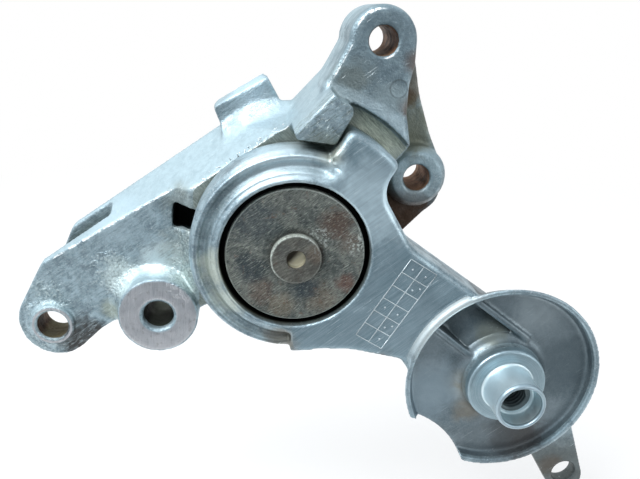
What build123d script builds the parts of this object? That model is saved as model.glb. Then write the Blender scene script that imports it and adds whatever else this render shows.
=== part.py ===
from build123d import *
import math
import os

# Belt tensioner bracket: a die-cast bracket with a spring-loaded arm.
# X runs to the right, Z up, and the pivot axis is Y. The engine's mounting plane is y = 0.
# A height is a distance from that plane towards the viewer, along -Y.

# Pivot
pin_radius = 6.0
pin_fit = 0.02
running_fit = 0.05
body_gap = 0.3

# Heights of the bracket casting
drum_height = 22.0
ear_height = 26.0
lug_height = 36.0
flange_height = 14.0
tab_height = 5.0
big_boss_height = 24.0
low_boss_height = 20.4
left_boss_height = 13.7
web_height_left = 10.7
web_rise = 0.118
casting_wall = 4.0

# Mounting holes: centre x, centre z
left_hole = (-85.1, -32.6)
big_hole = (-46.4, -25.6)
low_hole = (42.3, 19.5)
ear_hole = (28.5, 63.9)
left_hole_radius = 5.35
big_hole_radius = 5.15
bolt_hole_radius = 4.5

ejector_mark = (33.6, 49.6)

# Radii of the bosses
ejector_radius = 2.7
left_end_radius = 12.9
left_tube_radius = 7.5
left_tube_flare = 2.2
big_boss_radius = 13.5
big_boss_flare = 8.5
big_boss_flare_base = 12.4
low_boss_radius = 10.5
low_boss_face = 8.4
ear_radius = 10.6
ear_rounding = 2.2

# Spring drum
drum_radius = 32.8
drum_bore = 30.0
drum_floor = 5.0
drum_hub_radius = 10.5
drum_hub_height = 8.7
pin_socket_floor = 2.0
engine_pad_radius = 14.0
boss_relief = 0.8
ring_clearance = 1.5
slot_low = 3.0
slot_high = 8.4

# Top wall: three planes that lean outwards towards the engine.
# Each has a level at the origin, a rise along x and a fall with height.
long_wall = (50.9, 0.64, 0.54)
bridge_wall = (43.42, 0.317, 0.253)
ear_wall = (42.0, 1.0, 0.13)

# Arm casting
arm_face = 39.5
arm_back = 22.7
ring_radius = 33.4
tooth_radius = 43.0
front_rounding = 2.2
plan_rounding = 2.6
groove_start = 64
groove_end = 266
stop_pocket_radius = 49.2
plate_pocket_radius = 23.9
plate_pocket_floor = 33.2
arm_web = 6.0
arm_hub_radius = 12.8
arm_hub_back = drum_hub_height + body_gap
skirt_outer = 27.5
skirt_inner = 24.9
skirt_back = 9.0

# Pulley seat and dust shield
arm_reach = 86.1
arm_drop = 34.1
shield_radius = 34.8
shield_back_radius = 31.6
shield_floor = 37.0
shield_wall = 3.0
shield_rim_height = 41.0
shield_rim_width = 1.9
collar_radius = 13.8
collar_height = 44.4
spigot_radius = 8.5
spigot_height = 57.1
spigot_bore = 7.0
rib_width = 2.2
rib_height = 1.8
rib_pocket_floor = 31.5
shield_core_top = 28.0
thread_radius = 4.3

# Front plate, shaft and the parts inside the drum
plate_radius = 22.1
plate_front = 38.0
plate_thickness = 3.0
rivet_radius = 8.0
rivet_height = 3.4
rivet_dimple = 3.0
washer_thickness = 1.5
bushing_wall = 2.5
spring_wire = 4.4
spring_radius = 20.2
spring_pitch = 4.9
spring_turns = 3.25
damper_wall = 1.9

towards_viewer = (0, -1, 0)


def slab(sketch, low, high):
    """Sketch in x and z, thickened from one height to another."""
    return extrude(Plane.XZ.offset(low) * sketch, amount=high - low, dir=towards_viewer)


def disc(centre, radius):
    return Pos(*centre) * Circle(radius)


def post(centre, radius, low, high):
    return slab(disc(centre, radius), low, high)


def polar(radius, degrees):
    return radius * math.cos(math.radians(degrees)), radius * math.sin(math.radians(degrees))


def outline(corners):
    """Closed outline from corners given as x, z and corner radius."""
    points = [(x, z) for x, z, _ in corners]
    radii = [radius for _, _, radius in corners]
    return make_face(FilletPolyline(*points, radius=radii, close=True))


def turned(profile, centre=(0, 0), start=0, sweep=360):
    """Profile in radius and height, turned about an axis parallel to Y."""
    cx, cz = centre
    axis = Axis((cx, 0, cz), towards_viewer)
    plane = Plane(origin=(cx, 0, cz), x_dir=(1, 0, 0), z_dir=(0, 0, -1))
    solid = revolve(plane * profile, axis=axis, revolution_arc=sweep)
    return solid.rotate(axis, start)


def bore(centre, radius, low, high, chamfer_size=0.6):
    """Hole cutter with a chamfer at each end."""
    profile = Polygon(
        (0, low - 1), (radius + chamfer_size + 1, low - 1), (radius, low + chamfer_size),
        (radius, high - chamfer_size), (radius + chamfer_size + 1, high + 1), (0, high + 1),
    )
    return turned(profile, centre)


def flare(radius, size, base, centre):
    """Concave fillet ring round the foot of a boss."""
    outer = radius + size
    profile = make_face([
        Line((radius - 1, base - 2), (outer, base - 2)),
        Line((outer, base - 2), (outer, base)),
        RadiusArc((outer, base), (radius, base + size), size),
        Line((radius, base + size), (radius - 1, base + size)),
        Line((radius - 1, base + size), (radius - 1, base - 2)),
    ])
    return turned(profile, centre)


def wall_plane(wall, depth=0.0):
    """Outer face of a leaning top wall, or a plane the given distance inside it."""
    level, rise, fall = wall
    normal = Vector(-rise, -fall, 1)
    return Plane(origin=(0, 0, level - depth * normal.length), z_dir=normal)


def below(shape, wall, depth=0.0):
    return split(shape, bisect_by=wall_plane(wall, depth), keep=Keep.BOTTOM)


def web_profile(drop):
    """Side view, in x and height, of the space under the front web."""
    def web(x):
        return web_height_left + web_rise * (x - left_hole[0]) - drop
    foot, head = (-40.5, web(-40.5)), (-31, drum_height - drop)
    step = Spline(foot, head, tangents=[(1, web_rise), (1, 0)])
    edge = Polyline(head, (60, drum_height - drop), (60, -40), (-110, -40), (-110, web(-110)), foot)
    return make_face([step, edge])


def under_web(drop):
    side = Plane(origin=(0, 0, -60), x_dir=(1, 0, 0), z_dir=(0, 0, -1))
    return extrude(side * web_profile(drop), amount=160, dir=(0, 0, 1))


def body_plan():
    """Rear outline of the bracket, left of the ear."""
    left_lobe = outline([
        (-96.2, -26.0, 0), (-87.5, -11.4, 0), (-79.5, 1.0, 0), (-20, 39, 0), (3, 45.5, 0),
        (9, 20, 0), (-24, -20, 0), (-34.5, -25.5, 3), (-38, -36, 0), (-50, -36, 0),
        (-60.5, -30.5, 6), (-68, -34.6, 12), (-76.2, -42.1, 0), (-88, -38, 0),
    ])
    return left_lobe + disc(left_hole, left_end_radius) + disc(big_hole, big_boss_radius)


def ear_plan():
    cx, cz = ear_hole
    block = outline([
        (9.6, 36, 0), (9.6, 50.2, 2), (13.6, 56.4, 20), (cx - ear_radius, cz, 0), (cx, cz, 0),
        (cx + ear_radius, cz, 0), (38.8, 56.5, 4), (37.2, 50.5, 4), (36.8, 42.0, 8),
        (38.6, 30.4, 0), (32.5, 23.6, 0),
    ])
    return block + disc(ear_hole, ear_radius)


def flange_plan():
    lx, lz = low_hole
    block = outline([
        (20, 45, 0), (34, 66, 0), (41.2, 58.5, 6), (43.4, 46, 40), (47.6, 33.0, 30),
        (52.9, 21, 8), (51.8, 9.6, 8), (46.5, 5.5, 6), (33.0, -7.5, 0), (10, 0, 0),
    ])
    return block + disc(low_hole, low_boss_radius)


def stop_lug():
    """Block under the ear that the arm's tooth rests against."""
    root = outline([(-6, 30, 0), (-6, 46, 0), (12, 57, 0), (16, 44, 0), (14, 30, 0)])
    face = outline([
        (0.4, 38.1, 0), (1.1, 36.3, 0.5), (12.9, 34.3, 1.5), (18.1, 43.4, 1),
        (18.1, 45.6, 1), (14.4, 47.2, 1.5), (9, 54, 0), (-1.8, 44, 0),
    ])
    return below(slab(root, 0, drum_height), ear_wall) + below(slab(face, 10, lug_height), ear_wall)


def rear_tab():
    """Tab that stands on the top wall along the engine side, with a concave foot."""
    root = [(-2.4, 43.8), (-8, 32), (-20, 28)]
    back = Polygon((-25.0, 42.2), (-23.4, 44.0), (-8.4, 52.4), (-6.9, 52.2), *root)
    front = Polygon((-24.8, 41.4), (-24.2, 42.3), (-7.4, 51.0), (-6.2, 51.2), *root)
    tab = loft([Plane.XZ * back, Plane.XZ.offset(tab_height) * front], ruled=True)
    ridges = {
        0: [(-23, 36.9), (-16, 41.5), (-10.7, 44.1), (-5, 44.9), (2.6, 44.2)],
        2.5: [(-22.6, 33.7), (-16, 38.3), (-10, 40.6), (-4.5, 42.0), (2.8, 43.4)],
        7.5: [(-22.2, 29.8), (-16, 33.8), (-9, 37.0), (-3, 39.0), (3.0, 41.0)],
    }
    sections = []
    for rise, points in ridges.items():
        ridge = Spline(*points)
        base = Polyline(ridge @ 1, (3, 31), (-20, 24), ridge @ 0)
        sections.append(Plane.XZ.offset(tab_height + rise) * make_face([ridge, base]))
    return tab + loft(sections)


def rear_cores(plan):
    """Pockets cast into the engine side, with walls and ribs left between them."""
    keep = disc((0, 0), drum_radius) + disc(left_hole, 10) + disc(big_hole, 10)
    keep += disc(low_hole, 8.5) + disc(ear_hole, 8.5)
    for start, end in [
        (big_hole, (-62, 14)), (big_hole, (-36, 30)), ((-20, 24), (-16, 48)), ((0, 30), (-3, 50)),
        ((10, 28), (22, 62)), ((26, 18), (46, 50)), (left_hole, (-66, 2)),
    ]:
        keep += trace(Line(start, end), 2.6)
    web = offset(plan, -casting_wall, kind=Kind.INTERSECTION) - keep
    cores = slab(web, -1, drum_height) & under_web(casting_wall)
    cores = below(below(cores, long_wall, casting_wall), bridge_wall, casting_wall)
    ear = offset(ear_plan(), -casting_wall, kind=Kind.INTERSECTION) - keep
    cores += slab(ear, -1, drum_height - casting_wall)
    flange = offset(flange_plan(), -casting_wall, kind=Kind.INTERSECTION) - keep - ear_plan()
    return cores + slab(flange, -1, flange_height - casting_wall)


def bracket_casting():
    plan = body_plan()
    body = slab(plan, 0, drum_height) & under_web(0)
    body = below(below(body, long_wall), bridge_wall)
    body += post((0, 0), drum_radius, 0, drum_height)

    # Ear and flange stand round the drum, and the arm's tooth sweeps a pocket in them.
    clearance = post((0, 0), stop_pocket_radius, drum_height, ear_height + 1)
    ear = slab(ear_plan(), 0, ear_height)
    ear = fillet(ear.edges().group_by(Axis.Y)[0], ear_rounding)
    body += ear - clearance
    body += slab(flange_plan(), 0, flange_height)
    body += stop_lug()

    # Bosses
    body += post(left_hole, left_end_radius - 3, 0, web_height_left)
    body += post(left_hole, left_tube_radius, 0, left_boss_height)
    body += flare(left_tube_radius, left_tube_flare, web_height_left - 0.2, left_hole)
    body += post(big_hole, big_boss_radius, 0, big_boss_height)
    foot = flare(big_boss_radius, big_boss_flare, big_boss_flare_base, big_hole)
    body += foot & slab(plan, 0, big_boss_height)
    body += turned(Polygon(
        (0, 0), (low_boss_radius, 0), (low_boss_radius, low_boss_height - 2.8),
        (low_boss_face, low_boss_height), (0, low_boss_height),
    ), low_hole)
    body -= post((0, 0), ring_radius + ring_clearance, drum_height, lug_height + 1)

    # Engine side: pockets between ribs, and faces machined on the bosses only
    body -= rear_cores(plan)
    pads = disc((0, 0), engine_pad_radius) + disc(left_hole, 10) + disc(big_hole, 12)
    pads += disc(low_hole, low_boss_radius) + disc(ear_hole, ear_radius)
    body -= slab(Rectangle(300, 300) - pads, -1, boss_relief)

    body += rear_tab()

    # Spring drum
    body -= post((0, 0), drum_bore, drum_floor, drum_height + 1)
    body += post((0, 0), drum_hub_radius, drum_floor - 1, drum_hub_height)
    body -= post((0, 0), pin_radius, pin_socket_floor, drum_hub_height + 1)

    # Window in the web with a closed back, slot in the top wall, and the holes
    window = outline([(-39.4, 12.4, 1), (-29, 10.8, 0), (-30, 3.2, 0), (-40.2, 3.4, 1)])
    body -= slab(window - disc((0, 0), drum_radius), casting_wall, drum_height + 1)
    shelf = outline([(-46, 8, 0), (-26, 14, 0), (-26, -8, 0), (-46, -10, 0)])
    body += slab(shelf, boss_relief, casting_wall) - post((0, 0), drum_bore, drum_floor, drum_height)
    slot = outline([(-96, -12.5, 0), (-82, -10.6, 0), (-61.8, 1.5, 0), (-61.8, 16, 0), (-96, 16, 0)])
    body -= slab(slot, slot_low, slot_high)
    tip = outline([(-100, -14, 0), (-84, -14, 0), (-76.2, 1.4, 12), (-68.9, 8, 0), (-68.9, 30, 0)])
    body -= slab(tip, -1, slot_low)
    body -= bore(left_hole, left_hole_radius, 0, left_boss_height)
    body -= bore(big_hole, big_hole_radius, 0, big_boss_height, 1.0)
    body -= bore(low_hole, bolt_hole_radius, 0, low_boss_height)
    body -= bore(ear_hole, bolt_hole_radius, 0, ear_height)
    body -= post(ejector_mark, ejector_radius, ear_height - 0.35, ear_height + 1)
    return body


def neck_plan():
    return outline([
        (0, 0, 0), (-1.2, -32.3, 0), (17.5, -33.4, 30), (35.0, -38.2, 3), (40, -46, 0),
        (60, -61, 0), (78, -60, 0), (84, -38, 0), (69.9, -23.2, 0), (37.3, 1.4, 14), (30, 14.7, 0),
    ])


def arm_plan():
    """Front outline of the arm: the ring, the neck and the tooth that meets the stop."""
    tooth = outline([
        (8, 28, 0), (13.4, 34.0, 0), (19.1, 42.5, 0), (34, 50, 0), (37.0, 35.4, 0),
        (27.0, 20.2, 9), (30, 14.7, 0), (0, 0, 0),
    ]) & Circle(tooth_radius)
    plan = Circle(ring_radius) + neck_plan() + tooth
    rounding = min(plan_rounding, 0.35 * (tooth_radius - ring_radius))
    notch, tip, heel = polar(ring_radius, 68.6), polar(tooth_radius, 66.4), polar(tooth_radius, 41.3)
    for place in (notch, tip, heel):
        plan = fillet(plan.vertices().sort_by_distance(Vector(*place))[0], rounding)
    return plan


def ring_groove():
    """Cast groove round the free side of the ring, with a rounded end beside the notch."""
    channel = make_face([
        Line((26.3, arm_face), (27.5, arm_face - 3.2)),
        ThreePointArc((27.5, arm_face - 3.2), (28.4, arm_face - 3.9), (29.3, arm_face - 3.4)),
        ThreePointArc((29.3, arm_face - 3.4), (30.2, arm_face - 2.6), (31.2, arm_face - 2.4)),
        Polyline((31.2, arm_face - 2.4), (31.2, arm_face + 1), (26.3, arm_face + 1), (26.3, arm_face)),
    ])
    crest = Polygon(
        (31.1, arm_face - 2.4), (ring_radius, arm_face - 5.2), (ring_radius + 3, arm_face - 5.2),
        (ring_radius + 3, arm_face + 1), (31.1, arm_face + 1),
    )
    end = make_face([
        ThreePointArc((0, arm_face - 3.7), (1.7, arm_face - 2.6), (2.4, arm_face)),
        Polyline((2.4, arm_face), (2.4, arm_face + 1), (0, arm_face + 1), (0, arm_face - 3.7)),
    ])
    length = groove_end - groove_start
    past_notch = 5.5
    cut = turned(channel, start=groove_start, sweep=length)
    cut += turned(end, polar(28.7, groove_start + 0.7))
    return cut + turned(crest, start=groove_start + past_notch, sweep=length - past_notch)


def tensioner_arm():
    spigot = polar(arm_reach, -arm_drop)
    neck = neck_plan()
    plan = arm_plan()
    arm = slab(plan, arm_back, arm_face)
    rounding = min(front_rounding, 0.3 * (tooth_radius - ring_radius))
    arm = fillet(arm.edges().group_by(Axis.Y)[0], rounding)
    sharp_side = Pos(0, -64) * Rectangle(300, 100)
    arm += slab(plan & sharp_side, arm_back, arm_face)
    arm -= ring_groove()

    # Front pocket, hub and skirt
    arm -= post((0, 0), plate_pocket_radius, plate_pocket_floor, arm_face + 1)
    web_back = plate_pocket_floor - arm_web
    arm -= post((0, 0), skirt_inner, arm_back - 1, web_back)
    arm += post((0, 0), skirt_outer, skirt_back, arm_back) - post((0, 0), skirt_inner, 0, arm_back)
    arm += post((0, 0), arm_hub_radius, arm_hub_back, web_back)
    arm -= post((0, 0), pin_radius + bushing_wall, arm_hub_back - 1, arm_face)

    # Pocket in the back of the neck, with a rib along its middle
    core = offset(neck, -casting_wall, kind=Kind.INTERSECTION) - Circle(ring_radius)
    core -= disc(spigot, shield_radius)
    core -= trace(Line((0, 0), spigot), 3)
    arm -= slab(core, arm_back - 1, arm_face - arm_web)
    shield_core = offset(neck, -casting_wall, kind=Kind.INTERSECTION) & disc(spigot, shield_radius - 4)
    shield_core -= disc(spigot, 17 + casting_wall / 2) + trace(Line((0, 0), spigot), 3)
    arm -= slab(shield_core, arm_back - 1, shield_core_top)

    # Dished shield with its rim, then the collar and the hollow spigot
    rim_inner = shield_radius - shield_rim_width
    dish = Polygon(
        (0, shield_floor - shield_wall), (shield_back_radius, shield_floor - shield_wall),
        (shield_radius, shield_rim_height), (rim_inner, shield_rim_height),
        (rim_inner - 1.2, shield_floor), (0, shield_floor),
    )
    arm -= post(spigot, rim_inner, shield_floor, arm_face + 1)
    arm += turned(dish, spigot)
    foot = make_face([
        ThreePointArc((shield_radius + 4, arm_face), (shield_radius + 1.1, arm_face + 0.35),
                      (shield_radius - 0.6, shield_rim_height)),
        Polyline((shield_radius - 0.6, shield_rim_height), (shield_radius - 0.6, arm_face - 1),
                 (shield_radius + 4, arm_face - 1), (shield_radius + 4, arm_face)),
    ])
    arm += turned(foot, spigot) & slab(offset(neck, -front_rounding), arm_face - 1, shield_rim_height)
    cut = disc((28, -92), 33)
    arm -= slab(cut, arm_back - 1, shield_rim_height + 1)

    arm += post(spigot, 17, arm_back + 1.3, shield_floor)
    seat = make_face([
        Line((0, shield_floor - 1), (18, shield_floor - 1)),
        Line((18, shield_floor - 1), (18, shield_floor)),
        RadiusArc((18, shield_floor), (collar_radius, shield_floor + 4.2), 4.2),
        Line((collar_radius, shield_floor + 4.2), (collar_radius, collar_height - 0.6)),
        Line((collar_radius, collar_height - 0.6), (collar_radius - 0.6, collar_height)),
        Line((collar_radius - 0.6, collar_height), (spigot_radius, collar_height)),
        Line((spigot_radius, collar_height), (spigot_radius, spigot_height - 0.8)),
        Line((spigot_radius, spigot_height - 0.8), (spigot_radius - 0.8, spigot_height)),
        Line((spigot_radius - 0.8, spigot_height), (0, spigot_height)),
        Line((0, spigot_height), (0, shield_floor - 1)),
    ])
    arm += turned(seat, spigot)

    # Tab behind the shield
    tab = outline([
        (62, -62, 0), (88.5, -84.5, 0), (101.0, -107.0, 6), (115.0, -107.0, 6), (105.0, -76.0, 0),
        (84, -44, 0),
    ])
    arm += slab(tab, 24, 30)
    arm += slab(tab & disc(spigot, shield_radius - 6), 24, shield_floor - 1)
    arm -= bore((105.0, -98.6), 4.6, 24, 30)

    # Pocket between two low ribs that run from the rim to the collar
    inside = disc(spigot, rim_inner - 0.8)
    lower_rib = Line((44.5, -26.1), (66.5, -44.8))
    upper_rib = Line((58.0, -16.7), (80.0, -34.2))
    pocket = make_face(Polyline(lower_rib @ 0, lower_rib @ 1, upper_rib @ 1, upper_rib @ 0, close=True))
    arm -= slab((pocket & inside) - disc(spigot, 17), rib_pocket_floor, arm_face + 2)
    ribs = trace(lower_rib, rib_width) + trace(upper_rib, rib_width)
    arm += slab((ribs & inside) - disc(spigot, collar_radius - 1), rib_pocket_floor - 0.5,
                shield_floor + rib_height)

    # Threaded bore
    arm -= post(spigot, spigot_bore, 50, spigot_height + 1)
    arm -= post(spigot, thread_radius, 30, spigot_height + 1)
    return arm


def pivot_shaft():
    head = post((0, 0), rivet_radius, plate_front, plate_front + rivet_height)
    head -= post((0, 0), rivet_dimple, plate_front + rivet_height - 2.4, plate_front + rivet_height + 1)
    neck = post((0, 0), pin_radius - 1, plate_front - plate_thickness, plate_front)
    pin = post((0, 0), pin_radius - pin_fit, pin_socket_floor + body_gap, plate_front - plate_thickness)
    return pin + neck + head


def front_end_plate():
    low = plate_front - plate_thickness
    plate = Cylinder(plate_radius, plate_thickness)
    plate = chamfer(plate.edges().filter_by(GeomType.CIRCLE), 0.4)
    plate = Pos(0, -(low + plate_thickness / 2), 0) * Rot(90, 0, 0) * plate
    return plate - post((0, 0), pin_radius - 1 + pin_fit, low - 1, plate_front + 1)


def thrust_washer():
    high = plate_front - plate_thickness - pin_fit
    inner = post((0, 0), pin_radius + bushing_wall, 0, 60)
    return post((0, 0), plate_radius - 1.5, high - washer_thickness, high) - inner


def pivot_bushing():
    low = arm_hub_back
    outer = post((0, 0), pin_radius + bushing_wall - pin_fit, low, plate_pocket_floor)
    return outer - post((0, 0), pin_radius + running_fit, 0, 60)


def torsion_spring():
    base = drum_floor + body_gap + spring_wire / 2
    path = Helix(spring_pitch, spring_pitch * spring_turns, spring_radius)
    section = Plane(path @ 0, z_dir=path % 0) * Circle(spring_wire / 2)
    coil = sweep(section, path, is_frenet=True)
    return Pos(0, -base, 0) * Rot(90, 0, 0) * coil


def damper_ring():
    outer = drum_bore - running_fit
    ring = Circle(outer) - Circle(outer - damper_wall)
    gap = Pos(-outer, 0) * Rectangle(8, 8)
    return slab(ring - gap, drum_floor + body_gap, drum_height - 2)


def spring_sleeve():
    ring = Circle(arm_hub_radius + 2.4) - Circle(arm_hub_radius + 0.4)
    return slab(ring, drum_floor + 0.02, drum_floor + 14)


parts = {
    "bracket_casting": bracket_casting(),
    "tensioner_arm": tensioner_arm(),
    "pivot_shaft": pivot_shaft(),
    "front_end_plate": front_end_plate(),
    "thrust_washer": thrust_washer(),
    "pivot_bushing": pivot_bushing(),
    "torsion_spring": torsion_spring(),
    "damper_ring": damper_ring(),
    "spring_sleeve": spring_sleeve(),
}

os.makedirs("parts", exist_ok=True)
for name, shape in parts.items():
    export_step(shape, "parts/" + name + ".step")
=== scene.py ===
import math
import bmesh
import bpy
from bpy.props import FloatProperty, FloatVectorProperty, IntProperty, PointerProperty
from mathutils import Matrix, Vector


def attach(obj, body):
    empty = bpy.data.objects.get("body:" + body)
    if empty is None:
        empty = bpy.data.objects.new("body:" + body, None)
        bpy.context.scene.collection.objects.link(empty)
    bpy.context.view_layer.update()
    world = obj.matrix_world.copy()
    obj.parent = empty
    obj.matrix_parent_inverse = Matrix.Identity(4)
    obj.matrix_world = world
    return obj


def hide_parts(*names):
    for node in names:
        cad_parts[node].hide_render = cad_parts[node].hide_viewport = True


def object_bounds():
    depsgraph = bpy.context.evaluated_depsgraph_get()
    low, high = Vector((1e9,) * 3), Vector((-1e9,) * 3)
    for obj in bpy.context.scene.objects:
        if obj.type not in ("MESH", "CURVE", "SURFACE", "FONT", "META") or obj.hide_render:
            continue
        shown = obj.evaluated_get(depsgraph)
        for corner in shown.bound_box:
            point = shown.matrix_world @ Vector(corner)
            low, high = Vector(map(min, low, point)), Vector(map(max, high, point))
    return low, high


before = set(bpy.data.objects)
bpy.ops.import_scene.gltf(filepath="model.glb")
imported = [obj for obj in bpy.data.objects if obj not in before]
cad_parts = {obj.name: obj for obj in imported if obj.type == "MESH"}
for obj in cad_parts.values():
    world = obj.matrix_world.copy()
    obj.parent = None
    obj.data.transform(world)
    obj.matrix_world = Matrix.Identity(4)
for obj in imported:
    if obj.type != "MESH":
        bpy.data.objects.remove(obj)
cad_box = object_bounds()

bl_info = {
    "name": "Belt tensioner bracket",
    "version": (1, 0, 0),
    "blender": (4, 5, 0),
    "location": "3D View > Sidebar > Tensioner",
    "description": "Finishes a die-cast tensioner bracket and its arm",
    "category": "Object",
}

MM = 0.001

# The photo's frame and camera, found from the ellipses and parallel faces of the object
PHOTO_WIDTH = 640
FOCAL_PIXELS = 638.5
SENSOR_WIDTH = 36.0
CAMERA_PLACE = Vector((-11.34, -224.5, 73.06)) * MM
CAMERA_RIGHT = Vector((0.9948, -0.1018, 0.0))
CAMERA_UP = Vector((0.0346, 0.3383, 0.9404))
CAMERA_FORWARD = Vector((0.0957, 0.9355, -0.3401))

# Axes of the holes and round places, as x and z in millimetres
PIVOT = (0, 0)
LEFT_HOLE = (-85.1, -32.6)
BIG_HOLE = (-46.4, -25.6)
LOW_HOLE = (42.3, 19.5)
EAR_HOLE = (28.5, 63.9)
EJECTOR = (33.6, 49.6)
SPIGOT = (71.3, -48.27)

# Other places, as x, z and height towards the viewer
STOP_POCKET = (29, 36, 22)
STOP_LUG = (9, 41, 36)
LUG_FOOT = (9, 33, 36)
WINDOW = (-36, 8, 8)
SHIELD_RAMP = (45, -20, 42)

# Heights of faces
ARM_FACE = 39.5
DRUM_FACE = 22.0
SHIELD_FLOOR = 37.0
POCKET_FLOOR = 31.5

# Heights between which a place's finish and painted light lie
WALL_HIGHLIGHT_BAND = (11, 30)
LIP_BAND = (23, 27)
EAR_BAND = (20, 27)
LUG_BAND = (30, 42)
WINDOW_BAND = (3, 14.5)
RAMP_HIGHLIGHT_BAND = (39.8, 46)
RIM_BAND = (39.8, 50)
RIVET_BAND = (39.5, 42)
DIMPLE_BAND = (35, 40.6)
SPIGOT_BAND = (41.5, 60.0)
SPIGOT_END_BAND = (55.6, 60.0)
BORE_BAND = (30.2, 56.4)
DEEP_BORE_BAND = (30.2, 50.0)

# Radii
EJECTOR_RADIUS = 2.9
LIP_RADIUS = 52.5
DISC_RADIUS = 22.1
GAP_RADIUS = 24.05
RIVET_RADIUS = 8.0
DIMPLE_RADIUS = 3.3
DISH_RADIUS = 33.4
SHIELD_RADIUS = 39.5
COLLAR_RADIUS = 13.9
SPIGOT_RADIUS = 9.2
BORE_RADIUS = 7.0

# Direction across the shield's two ribs in x and z, and where they lie along it
RIB_NORMAL = (0.648, 0.762)
RIBS_ACROSS = (9.6, 24.2)
# The long wall's rise in z for each x, and the direction that its front edge faces, where a
# highlight is painted
WALL_SLOPE = 0.665
WALL_HIGHLIGHT_NORMAL = (-0.22, -0.90, 0.38)


# Properties

class CastingProps(bpy.types.PropertyGroup):
    voxel: FloatProperty(
        name="Skin cell", description="Size of the cells that the casting's skin is made of",
        default=0.55 * MM, min=0.2 * MM, max=2 * MM, unit="LENGTH", precision=5,
    )
    triangles: IntProperty(
        name="Triangles", description="Most triangles that a casting's skin may have",
        default=180000, min=20000, max=200000,
    )
    bright: FloatVectorProperty(
        name="Bright metal", description="Colour of clean cast aluminium",
        subtype="COLOR", size=3, min=0, max=1, default=(0.39, 0.52, 0.58),
    )
    dull: FloatVectorProperty(
        name="Dull metal", description="Colour of oxidised cast aluminium",
        subtype="COLOR", size=3, min=0, max=1, default=(0.19, 0.265, 0.305),
    )
    # Olive film in corners, which also carries painted shade there
    film_and_shade: FloatVectorProperty(
        name="Shade and olive film", description="Colour of the olive film in corners",
        subtype="COLOR", size=3, min=0, max=1, default=(0.15, 0.165, 0.12),
    )
    machined: FloatVectorProperty(
        name="Machined metal", description="Colour of turned boss faces",
        subtype="COLOR", size=3, min=0, max=1, default=(0.52, 0.53, 0.56),
    )


class SteelProps(bpy.types.PropertyGroup):
    cell: FloatProperty(
        name="Skin cell",
        description="Size of the cells that the disc's and shaft's skins are made of",
        default=0.3 * MM, min=0.2 * MM, max=2 * MM, unit="LENGTH", precision=5,
    )
    triangles: IntProperty(
        name="Triangles", description="Most triangles that a steel skin may have",
        default=60000, min=20000, max=200000,
    )
    steel: FloatVectorProperty(
        name="Steel", description="Colour of the worn steel disc",
        subtype="COLOR", size=3, min=0, max=1, default=(0.20, 0.215, 0.195),
    )
    rust: FloatVectorProperty(
        name="Rust", description="Colour of the rusty patches",
        subtype="COLOR", size=3, min=0, max=1, default=(0.17, 0.10, 0.07),
    )
    scratch: FloatVectorProperty(
        name="Scratch", description="Colour of fresh scratches",
        subtype="COLOR", size=3, min=0, max=1, default=(0.50, 0.53, 0.48),
    )


class GridProps(bpy.types.PropertyGroup):
    line: FloatProperty(
        name="Line width", description="Width of the date grid's lines",
        default=0.32 * MM, min=0.1 * MM, max=1 * MM, unit="LENGTH", precision=5,
    )
    cell: FloatProperty(
        name="Cell", description="Side of one square of the date grid",
        default=5.2 * MM, min=1 * MM, max=20 * MM, unit="LENGTH", precision=4,
    )
    columns: IntProperty(name="Columns", description="Squares across", default=2, min=1, max=12)
    rows: IntProperty(name="Rows", description="Squares along", default=6, min=1, max=24)


class StageProps(bpy.types.PropertyGroup):
    floor: FloatVectorProperty(
        name="Floor", description="Colour of the floor and backdrop",
        subtype="COLOR", size=3, min=0, max=1, default=(0.93, 0.93, 0.93),
    )
    key: FloatProperty(name="Key light", description="Power of the main lamp", default=13.0, min=0)
    fill: FloatProperty(name="Fill light", description="Power of the fill lamp", default=2.0, min=0)
    sky: FloatProperty(name="Sky", description="Strength of the sky overhead", default=1.0, min=0)
    low_sky: FloatProperty(
        name="Low sky", description="Strength of the sky in front and below", default=0.3, min=0,
    )


# Node helpers

def is_socket(value):
    return isinstance(value, bpy.types.NodeSocket)


def join(tree, socket, value):
    """Feeds a socket from another socket, or sets it."""
    if is_socket(value):
        tree.links.new(value, socket)
    else:
        socket.default_value = value


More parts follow.
